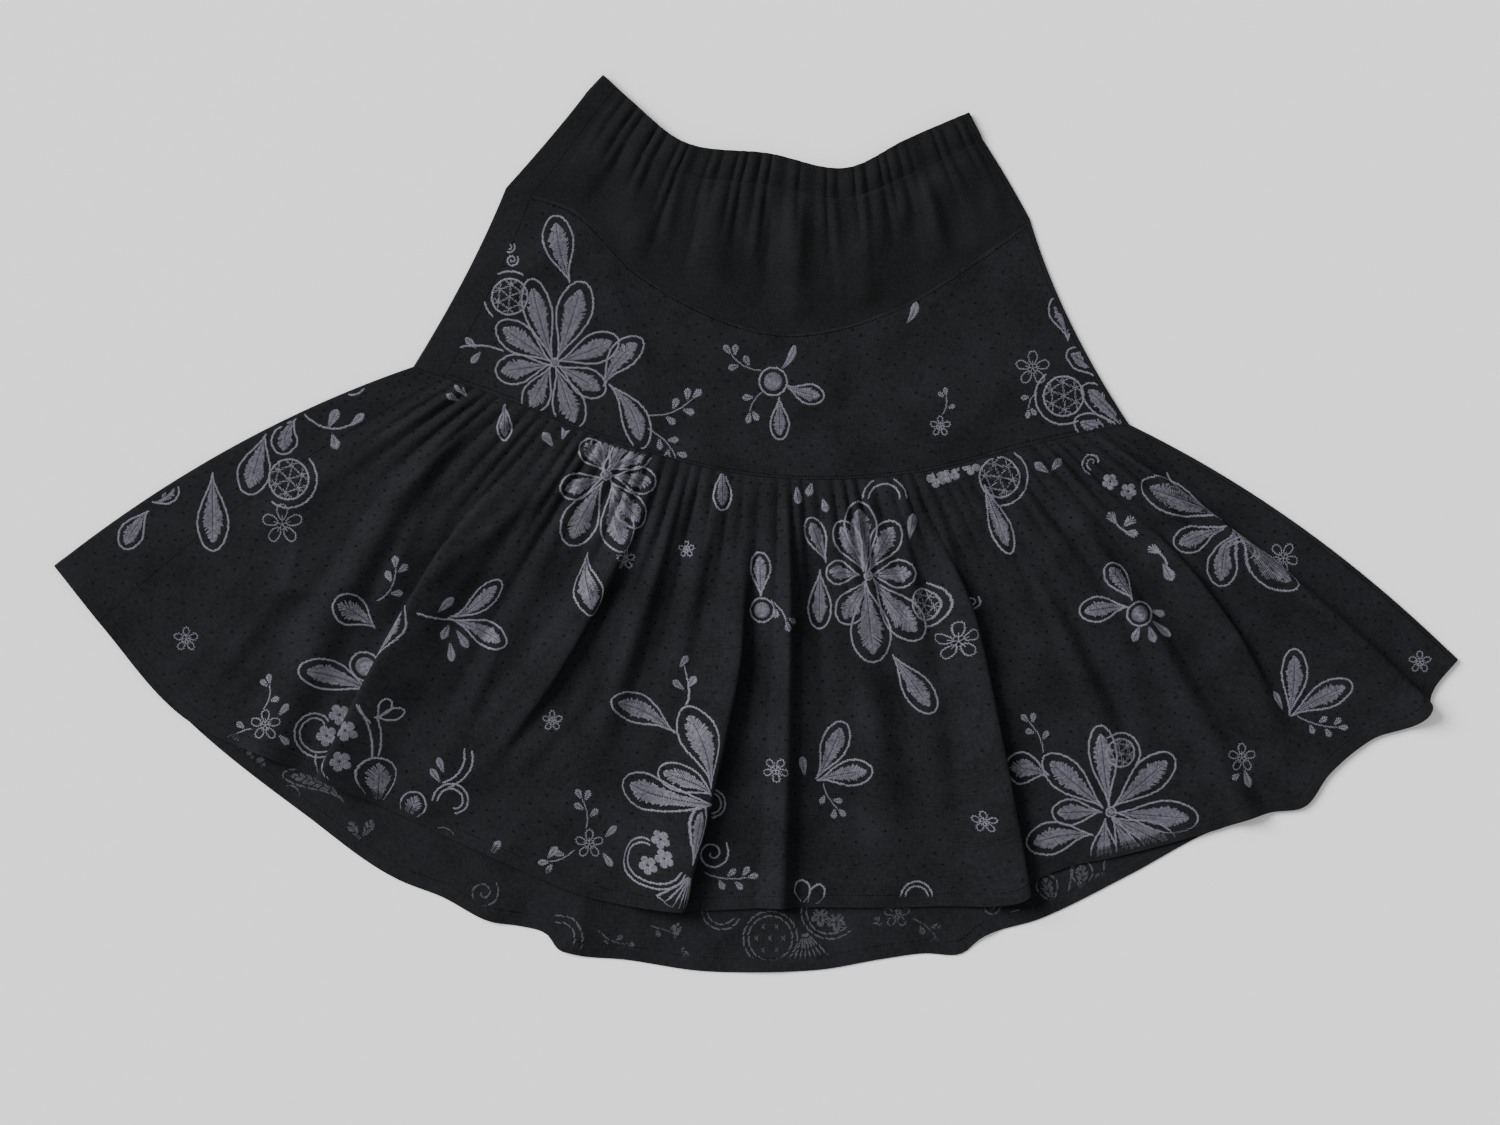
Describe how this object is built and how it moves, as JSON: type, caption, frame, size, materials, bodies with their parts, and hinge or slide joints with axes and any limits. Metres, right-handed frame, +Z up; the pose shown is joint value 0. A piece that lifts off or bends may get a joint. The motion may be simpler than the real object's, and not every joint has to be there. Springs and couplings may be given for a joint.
{
  "type": "knee-length skirt",
  "caption": "Knee-length cotton skirt with an elastic waist, shaped yoke, hip panel and gathered flounce, laid flat.",
  "frame": {"origin": "middle of the laid-out skirt's bounding box, on the surface it lies on", "axes": "+Z up through the layers of cloth, out of the front; +Y from the hem towards the waist; +X across the skirt, to the right as seen from above its front"},
  "size_m": [1.122, 0.7181, 0.019],
  "materials": {
    "waist_casing": "matt gathered cotton",
    "yoke_cloth": "matt plain cotton",
    "dotted_cloth": "matt cotton with small woven dots and embroidery"
  },
  "bodies": {
    "root": {"casing_front": "waist_casing", "casing_back": "waist_casing", "yoke_front": "yoke_cloth", "yoke_back": "yoke_cloth", "hip_front": "dotted_cloth", "hip_back": "dotted_cloth", "flounce_front": "dotted_cloth", "flounce_back": "dotted_cloth"}
  },
  "joints": []
}
